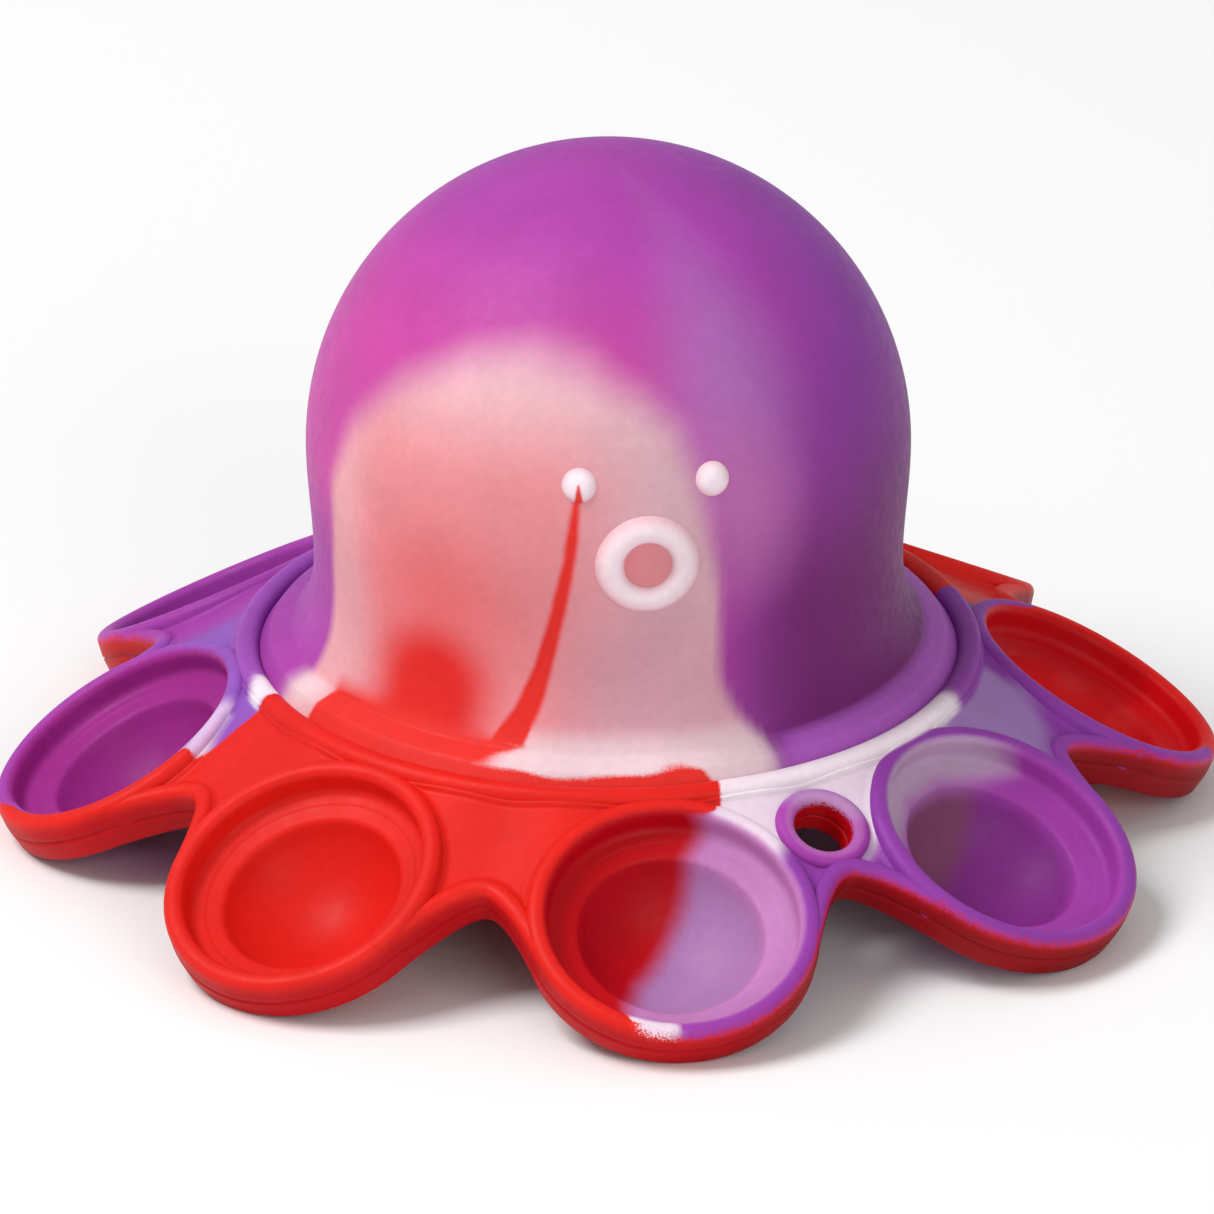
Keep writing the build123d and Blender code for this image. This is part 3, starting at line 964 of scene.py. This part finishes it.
def web_points(turn, side, path, sideways):
    """Top and bottom of half a web, out to the middle of the beads around it."""
    lobe = lobe_beside(turn, side)
    centre, out, across, _ = lobe
    half_rim = RIM_WIDTH / 2
    columns, rows = spread(46, 0.8), spread(52, 0.8)

    def along_line(line, shares):
        steps = np.linalg.norm(np.diff(line, axis=0), axis=1)
        length = np.concatenate([[0], np.cumsum(steps)])
        return np.stack([np.interp(shares * length[-1], length, line[:, k]) for k in range(2)], axis=1)

    valley = (path - sideways * half_rim)[::-1, :2]
    angles = np.linspace(math.pi, LEAVE, 60)
    around = np.cos(angles)[:, None] * out + side * np.sin(angles)[:, None] * across
    rim = (centre + (LOBE_R - half_rim) * around)[:, :2]
    headings = turn - side * np.linspace(0, ARM_STEP / 2, 40)
    ring = WEB_INNER_R * np.stack([np.sin(headings), -np.cos(headings)], axis=1)
    rim[0] = ring[-1]
    middle = np.stack([ring[0], valley[0]])
    low, high = along_line(ring, columns)[None], along_line(valley, columns)[None]
    near, far = along_line(middle, rows)[:, None], along_line(rim, rows)[:, None]
    u, v = columns[None, :, None], rows[:, None, None]
    plan = (
        (1 - v) * low + v * high + (1 - u) * near + u * far
        - (1 - u) * (1 - v) * low[:, :1] - u * (1 - v) * low[:, -1:]
        - (1 - u) * v * high[:, :1] - u * v * high[:, -1:]
    )
    flat = plan.reshape(-1, 2)
    points = np.column_stack([flat, web_height(flat, turn, side)])
    from_rim = np.hypot(*local(points, lobe)[:, :2].T) - LOBE_R + LOBE_COVE_INSET
    bead_line = path - sideways * half_rim
    to_bead = np.min(np.linalg.norm(points[:, None, :] - bead_line[None], axis=2), axis=1)
    from_valley = to_bead - half_rim + VALLEY_COVE_INSET
    top_radius = np.hypot(flat[:, 0], flat[:, 1]) + WEB_HALF_THICKNESS * SIN_DROOP
    from_ring = (top_radius - RING_OUTER_R) / COS_DROOP
    rise = np.maximum(cove(from_rim, COVE_R, COVE_REACH), cove(from_valley, COVE_R, COVE_REACH))
    rise = np.maximum(rise, cove(from_ring, RING_COVE_R, RING_COVE_R))
    normals = np.column_stack([unit(flat) * SIN_DROOP, np.full(len(flat), COS_DROOP)])
    top = points + normals * (WEB_HALF_THICKNESS + rise)[:, None]
    bottom = points - normals * WEB_HALF_THICKNESS
    shape = (*plan.shape[:2], 3)
    return top.reshape(shape), bottom.reshape(shape)


def make_web(number):
    """Both halves of a web and of its valley bead, each named after the arm beside it."""
    turn = (number - 0.5) * ARM_STEP
    section = rounded(bead_section() + [(RIM_INNER_R + RIM_DRAFT / 2, -RIM_HALF_HEIGHT, 0)])
    for side, arm in ((1, ARM_NAMES[number - 1]), (-1, ARM_NAMES[number % len(ARM_NAMES)])):
        path, sideways, upward = valley_path(turn, side)
        tube = (
            path[:, None] + (section[:, 0] - LOBE_R)[None, :, None] * sideways[:, None]
            + section[:, 1][None, :, None] * upward[:, None]
        )
        bead = skin(f"valley_{number}_{arm}", tube, cap_first=True, cap_last=True)
        outer = section[:, 0] > LOBE_R - RIM_WIDTH / 2
        depth = np.where(outer, WALL_EDGE_N - section[:, 1], NO_WALL)
        skirt_paint(bead, tube.reshape(-1, 3), np.tile(depth, len(path)))
        top, bottom = web_points(turn, side, path, sideways)
        own = local(top, eyelet_place())
        kept = np.hypot(own[..., 0], own[..., 1]) > EYELET_SEAT_R
        web, spots = plate(f"skirt_{number}_{arm}", top, bottom, kept)
        skirt_paint(web, spots, np.full(len(spots), NO_WALL), WEB_WASHES)
        for piece in (bead, web):
            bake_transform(piece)
            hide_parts(f"web_{number}")


def eyelet_place():
    return skirt_place(ARM_STEP / 2, EYELET_PATH_R, cone_z(EYELET_PATH_R))


def eyelet_section():
    """Closed section of the eyelet, with the moulding's seam round its hole."""
    half = EYELET_HALF_HEIGHT
    return rounded([
        (EYELET_HOLE_R, half, EYELET_ROUND),
        (EYELET_R, half, EYELET_ROUND),
        (EYELET_R, -half, EYELET_ROUND),
        (EYELET_HOLE_R, -half, EYELET_ROUND),
        (EYELET_HOLE_R, -SEAM_HALF_WIDTH, 0),
        (EYELET_HOLE_R + SEAM_DEPTH, 0, 0),
        (EYELET_HOLE_R, SEAM_HALF_WIDTH, 0),
    ], step=0.25)


def make_eyelet():
    """Bead round the key hole: lilac to orchid on top, red in the hole and underneath."""
    place = eyelet_place()
    points = turned(eyelet_section(), place, evenly(EYELET_COLUMNS))
    piece = skin("eyelet", points, wrap_rows=True)
    spots = points.reshape(-1, 3)
    own = local(spots, place)
    height = own[:, 2]
    off_hole = np.hypot(own[:, 0], own[:, 1]) - EYELET_HOLE_R
    pale = fade(own[:, 1] * 0.6 - own[:, 0] - 2.2, 2.5)
    lip = fade(0.55 - np.abs(off_hole - 0.5), 0.5)
    tint = wash(wash(ORCHID, LILAC, pale * 0.9), BLUSH, lip * 0.15)
    field = np.where(off_hole < 0.3, EYELET_RED_N - height, -REACH)
    field = np.where(height < 0, REACH, clipped(field))
    paint(piece, spots, tint, field, RED, grit=1)
    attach(piece, "core")
    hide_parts("key_eyelet")


# ---- ring bead, head and face

def make_ring():
    """Bead round the head's foot."""
    section = rounded([
        (RING_INNER_R, RING_FOOT_Z, RING_FOOT_ROUND / 2),
        (RING_OUTER_R, RING_FOOT_Z, RING_FOOT_ROUND),
        (RING_OUTER_R, RING_TOP_Z, RING_TOP_ROUND),
        (RING_INNER_R, RING_TOP_Z, RING_TOP_ROUND),
    ])
    points = turned(section, UPRIGHT, evenly(RING_COLUMNS))
    piece = skin("ring_bead", points, wrap_rows=True)
    spots = points.reshape(-1, 3)
    plan = spots[:, :2]
    paint(piece, spots, skirt_tint(plan), skirt_red(plan), SCARLET)
    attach(piece, "core")
    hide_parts("head_ring")


def hermite(start, start_way, end, end_way, count):
    """Points on a curve between two ends, with the direction it has at each."""
    share = np.linspace(0, 1, count)[:, None]
    return (
        (2 * share**3 - 3 * share**2 + 1) * start + (share**3 - 2 * share**2 + share) * start_way
        + (3 * share**2 - 2 * share**3) * end + (share**3 - share**2) * end_way
    )


def head_section():
    """Outside of the head from the gutter behind the ring bead to the top."""
    foot = np.array([FOOT_R, RING_TOP_Z + FOOT_RISE])
    waist = np.array([WAIST_R, HEAD_Z - WAIST_DROP])
    equator = np.array([HEAD_R, HEAD_Z])
    lean = np.array([-math.sin(FLARE_LEAN), math.cos(FLARE_LEAN)])
    flare_length = np.linalg.norm(waist - foot)
    flare = hermite(foot, lean * flare_length, waist, np.array([0, flare_length]), SIDE_ROWS)
    side = hermite(waist, np.array([0, WAIST_DROP]), equator, np.array([0, WAIST_DROP]), SIDE_ROWS)
    gutter_r = RING_INNER_R + GUTTER_GAP
    band = rounded([
        (gutter_r, RING_FOOT_Z + HEAD_EDGE_RISE, 0),
        (gutter_r, RING_TOP_Z - GUTTER_DROP, GUTTER_ROUND),
        (BAND_SHOULDER_R, RING_TOP_Z + BAND_SHOULDER_RISE, BAND_SHOULDER_ROUND),
        (*foot, FOOT_ROUND),
        (*flare[FLARE_JOIN], 0),
    ], closed=False)
    angles = np.linspace(0, math.pi / 2 - POLE_R / HEAD_R, TOP_ROWS)[1:]
    ball = np.stack([HEAD_R * np.cos(angles), HEAD_Z + HEAD_R * np.sin(angles)], axis=1)
    return np.vstack([band, flare[FLARE_JOIN + 1:], side[1:], ball])


def make_head():
    """Hollow head, with closer columns where the thin red drip runs down."""
    front = 270
    drip_turns = np.arange(DRIP_FROM, DRIP_TO, 0.4)
    other_turns = np.arange(DRIP_TO, DRIP_FROM + 360, 1.6)
    angles = np.radians(np.concatenate([drip_turns, other_turns]) + front)
    points = turned(head_section(), UPRIGHT, angles)
    piece = skin("head_skin", points, cap_last=True, thickness=HEAD_WALL)
    head_paint(piece, points.reshape(-1, 3))
    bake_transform(piece)
    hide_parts("head_wall", "head_shoulder", "head_crown")


def face_place(node):
    """Place on the head's outside at the middle of a CAD node of the face."""
    low, high = corner_mm(node)
    middle = (low + high) / 2
    height = middle[2] - HEAD_Z
    out = unit(np.array([middle[0], middle[1], 0]))
    spot = UP * HEAD_Z + out * math.sqrt(HEAD_R**2 - height**2) + UP * height
    normal = unit(spot - UP * HEAD_Z)
    across = unit(np.cross(UP, normal))
    return spot, np.cross(across, normal), across, normal


def make_eye(name):
    """White dome. The left one has a red streak towards the drip below it."""
    ball_r = (EYE_R**2 + EYE_PROUD**2) / (2 * EYE_PROUD)
    angles = np.linspace(0.06, math.asin(EYE_R / ball_r), 12)
    dome = np.stack([ball_r * np.sin(angles), EYE_PROUD - ball_r * (1 - np.cos(angles))], axis=1)
    base = [(EYE_R + 0.03, -0.12), (EYE_R, -EYE_SINK), (EYE_R * 0.5, -EYE_SINK), (0.06, -EYE_SINK)]
    place = face_place(name)
    points = turned(np.vstack([dome, base]), place, evenly(EYE_COLUMNS))
    piece = skin(f"{name}_dome", points, cap_first=True, cap_last=True)
    spots = points.reshape(-1, 3)
    own = local(spots, place)
    field = np.full(len(spots), -REACH)
    if name == "eye_left":
        streak = 0.1 + 0.24 * own[:, 0] - np.abs(own[:, 1])
        field = clipped(np.minimum(streak, own[:, 0] + 0.1))
    tint = wash(MILK, BLUSH, fade(0.3 - own[:, 2], 0.8) * 0.9)
    paint(piece, spots, tint, field, CORAL, grit=0.1)
    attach(piece, "core")
    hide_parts(name)


def make_mouth():
    """White ring that follows the head's curve."""
    place = face_place("mouth_ring")
    angles = evenly(28)
    rho = MOUTH_PATH_R + MOUTH_TUBE_R * np.cos(angles)
    height = MOUTH_TUBE_R * np.sin(angles) - MOUTH_SINK - rho**2 / (2 * HEAD_R)
    points = turned(np.stack([rho, height], axis=1), place, evenly(MOUTH_COLUMNS))
    piece = skin("mouth_bead", points, wrap_rows=True)
    spots = points.reshape(-1, 3)
    tint = wash(MILK, BLUSH, fade(0.35 - local(spots, place)[:, 2], 1.1))
    paint(piece, spots, tint, -REACH, SCARLET)
    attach(piece, "core")
    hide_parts("mouth_ring")


# ---- stage, light and camera

# Lengths here are in metres, apart from the camera's two shifts.
FLOOR_SIZE = 6
FLOOR_SHADE = 0.885
SKY_STRENGTH = 0.46
CAMERA_AZIMUTH = math.radians(-7.4)
CAMERA_ELEVATION = math.radians(24.4)
CAMERA_DISTANCE = 1.5
CAMERA_LENS = 451.07
# Shifts of the camera's aim from the ring bead's top: up, and to the camera's right
CAMERA_AIM_RISE = 3.1
CAMERA_SIDESTEP = -0.14


def make_stage():
    """White floor."""
    bpy.ops.mesh.primitive_plane_add(size=FLOOR_SIZE, location=(0, 0, 0))
    floor = bpy.context.object
    floor.name = "floor"
    material = bpy.data.materials.new("floor_white")
    material.use_nodes = True
    shader = material.node_tree.nodes["Principled BSDF"]
    shader.inputs["Base Color"].default_value = (FLOOR_SHADE, FLOOR_SHADE, FLOOR_SHADE, 1)
    shader.inputs["Roughness"].default_value = 0.8
    floor.data.materials.append(material)


def add_light(name, place, size, power):
    """Square area light aimed at the head."""
    lamp = bpy.data.lights.new(name, "AREA")
    lamp.shape = "SQUARE"
    lamp.size = size
    lamp.energy = power
    lamp_object = bpy.data.objects.new(name, lamp)
    bpy.context.scene.collection.objects.link(lamp_object)
    lamp_object.location = place
    aim = Vector((0, 0, HEAD_Z * MM)) - Vector(place)
    lamp_object.rotation_euler = aim.to_track_quat("-Z", "Y").to_euler()


def make_light():
    """Even white surroundings, a soft key from the upper left and a weaker fill from the front."""
    world = bpy.data.worlds.new("studio")
    world.use_nodes = True
    background = world.node_tree.nodes["Background"]
    background.inputs["Color"].default_value = (1, 1, 1, 1)
    background.inputs["Strength"].default_value = SKY_STRENGTH
    bpy.context.scene.world = world
    add_light("key", place=(-0.85, -0.05, 1.3), size=0.7, power=18.5)
    add_light("fill", place=(0.5, -1.6, 0.7), size=1.0, power=9)
    bpy.context.scene.view_settings.view_transform = "Standard"


def make_camera():
    """Camera of the photo, found by a fit to its outlines."""
    side, front = math.sin(CAMERA_AZIMUTH), math.cos(CAMERA_AZIMUTH)
    level = math.cos(CAMERA_ELEVATION)
    back = Vector((side * level, -front * level, math.sin(CAMERA_ELEVATION)))
    right = Vector((front, side, 0))
    lens = bpy.data.cameras.new("camera")
    lens.lens = CAMERA_LENS
    lens.sensor_width = 36
    camera = bpy.data.objects.new("camera", lens)
    bpy.context.scene.collection.objects.link(camera)
    aim = Vector((0, 0, (RING_TOP_Z + CAMERA_AIM_RISE) * MM)) + right * CAMERA_SIDESTEP * MM
    camera.location = aim + back * CAMERA_DISTANCE
    camera.rotation_euler = (-back).to_track_quat("-Z", "Y").to_euler()
    bpy.context.scene.camera = camera


make_camera()
make_head()
make_ring()
for arm_index, arm_name in enumerate(ARM_NAMES):
    make_arm(arm_index, arm_name)
    make_web(arm_index + 1)
make_eyelet()
for eye_name in ("eye_left", "eye_right"):
    make_eye(eye_name)
make_mouth()
make_stage()
make_light()
